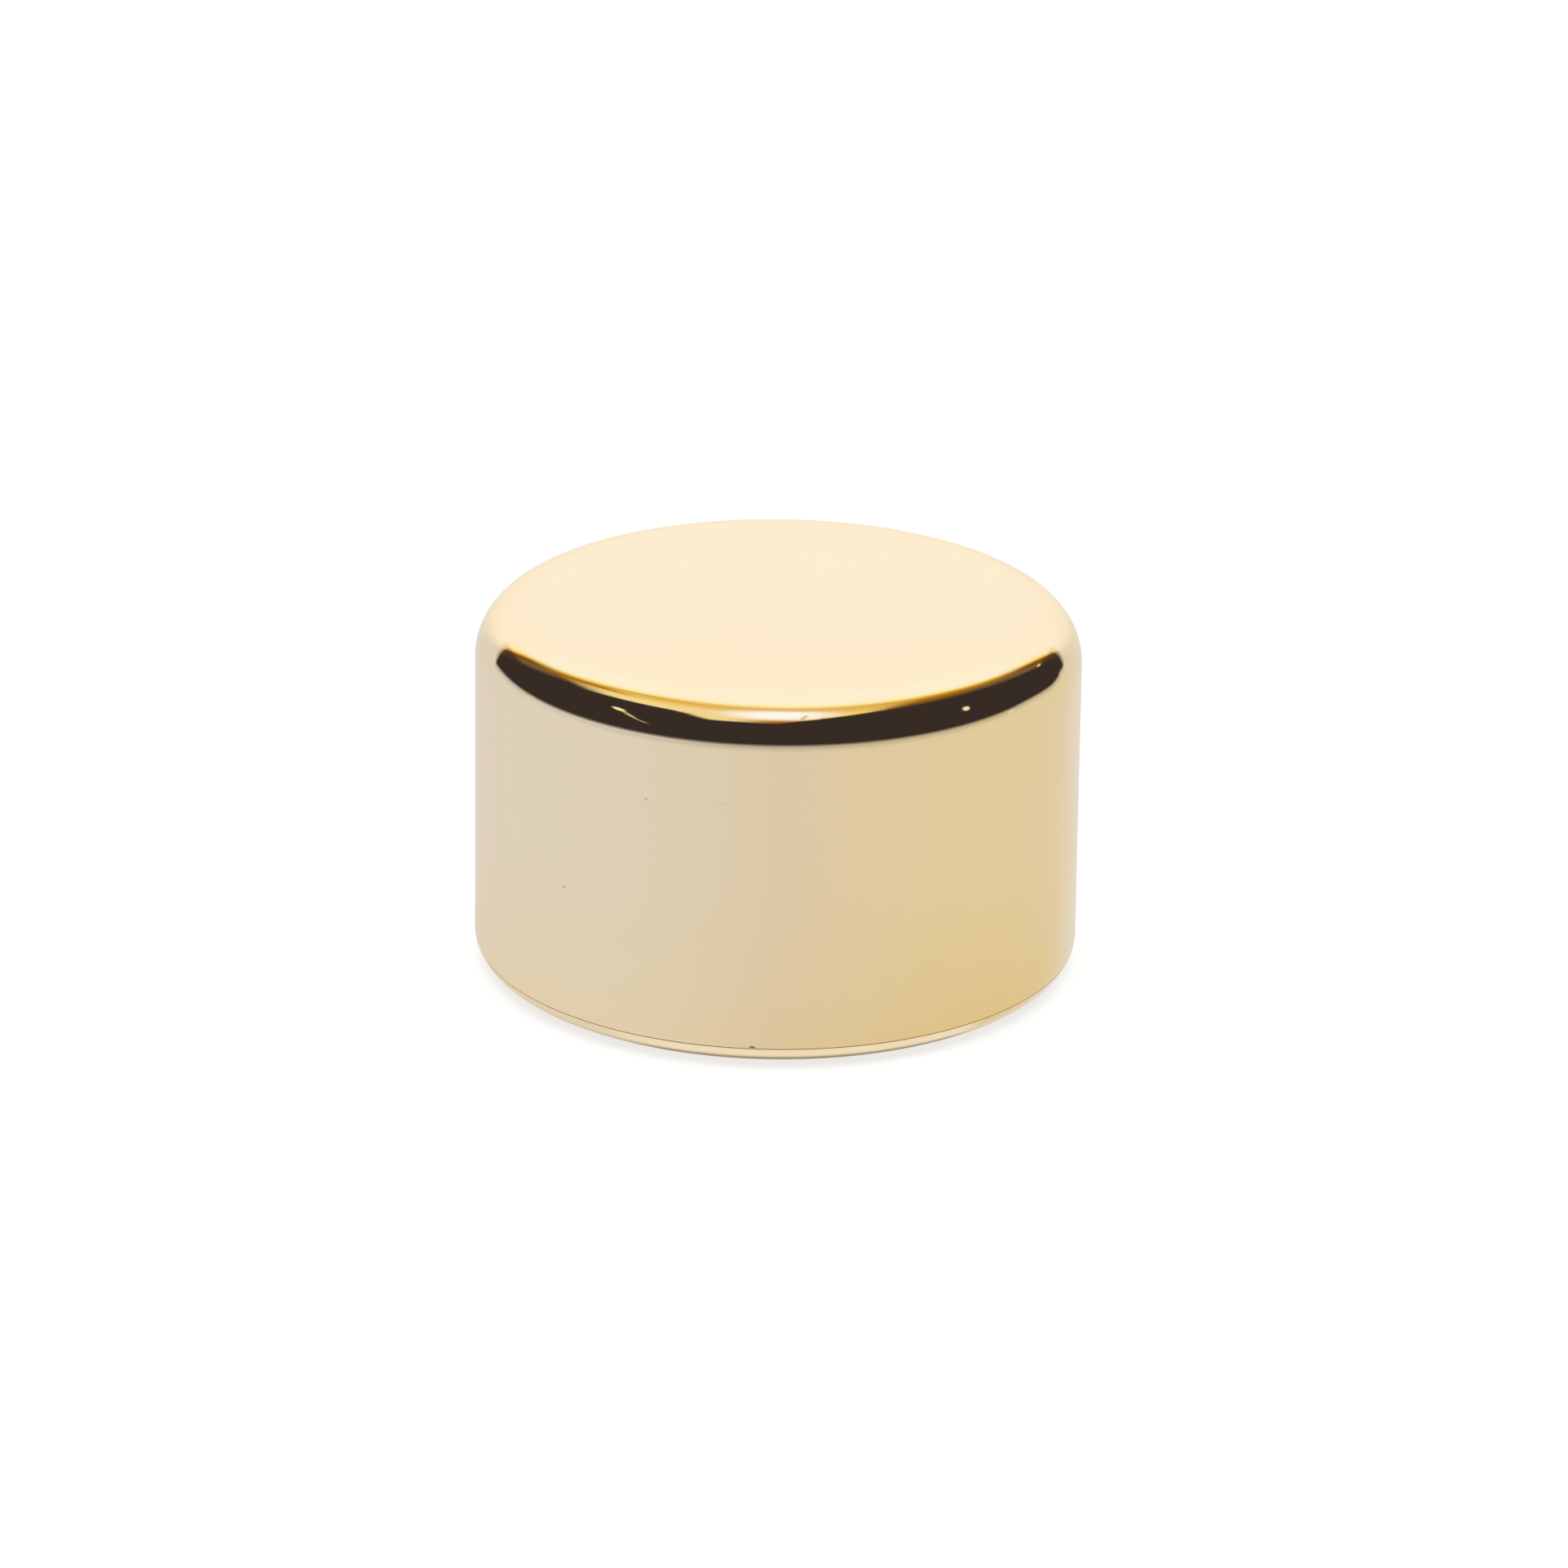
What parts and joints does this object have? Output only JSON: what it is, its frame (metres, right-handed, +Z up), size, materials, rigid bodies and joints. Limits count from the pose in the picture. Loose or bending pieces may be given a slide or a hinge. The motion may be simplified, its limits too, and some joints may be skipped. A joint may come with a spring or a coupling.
{
  "type": "cosmetic cream jar",
  "caption": "Round cream jar with a full-height polished gold screw cap, weighted base, sealing disc and double-walled cup.",
  "frame": {"origin": "centre of the base, on the table plane under the foot ring", "axes": "+Z up along the jar's axis, from the base to the top of the cap; the jar is round, so +X is only where the first thread ridge starts"},
  "size_m": [0.064, 0.064, 0.0391],
  "materials": {
    "gold_shell": "mirror-polished, champagne gold anodised",
    "gold_trim": "polished gold anodised",
    "cap_plastic": "moulded polypropylene, fine satin",
    "cup_plastic": "moulded polypropylene, semi-gloss",
    "body_plastic": "high-gloss pearl ivory",
    "disc_plastic": "thin moulded polypropylene, satin",
    "liner_foam": "expanded polyethylene sheet",
    "pad_foam": "soft foam, adhesive on both faces",
    "weight_steel": "stamped, zinc plated",
    "foot_rubber": "matt silicone"
  },
  "bodies": {
    "jar": {"inner_cup": "cup_plastic", "outer_body": "body_plastic", "shoulder_collar": "gold_trim", "base_weight": "weight_steel", "base_plate": "gold_trim", "foot_ring": "foot_rubber"},
    "liner": {"seal_liner": "liner_foam"},
    "cap": {"outer_shell": "gold_shell", "weight_pad": "pad_foam", "cap_weight": "weight_steel", "threaded_insert": "cap_plastic"},
    "disc": {"sealing_disc": "disc_plastic"}
  },
  "joints": [
    {"name": "cap_lift", "type": "slide", "parent": "jar", "child": "liner", "axis": [0, 0, 1], "range_m": [0, 0.056]},
    {"name": "cap_turn", "type": "hinge", "parent": "liner", "child": "cap", "pos_m": [0, 0, 0], "axis": [0, 0, 1], "range_deg": [0, 1260]},
    {"name": "disc_lift", "type": "slide", "parent": "jar", "child": "disc", "axis": [0, 0, 1], "range_m": [0, 0.0112]}
  ],
  "couplings": [
    {"joint": "cap_lift", "follows": "cap_turn", "m_per_rad": 0.0025464},
    {"joint": "disc_lift", "follows": "cap_turn", "m_per_rad": 0.0005092}
  ]
}
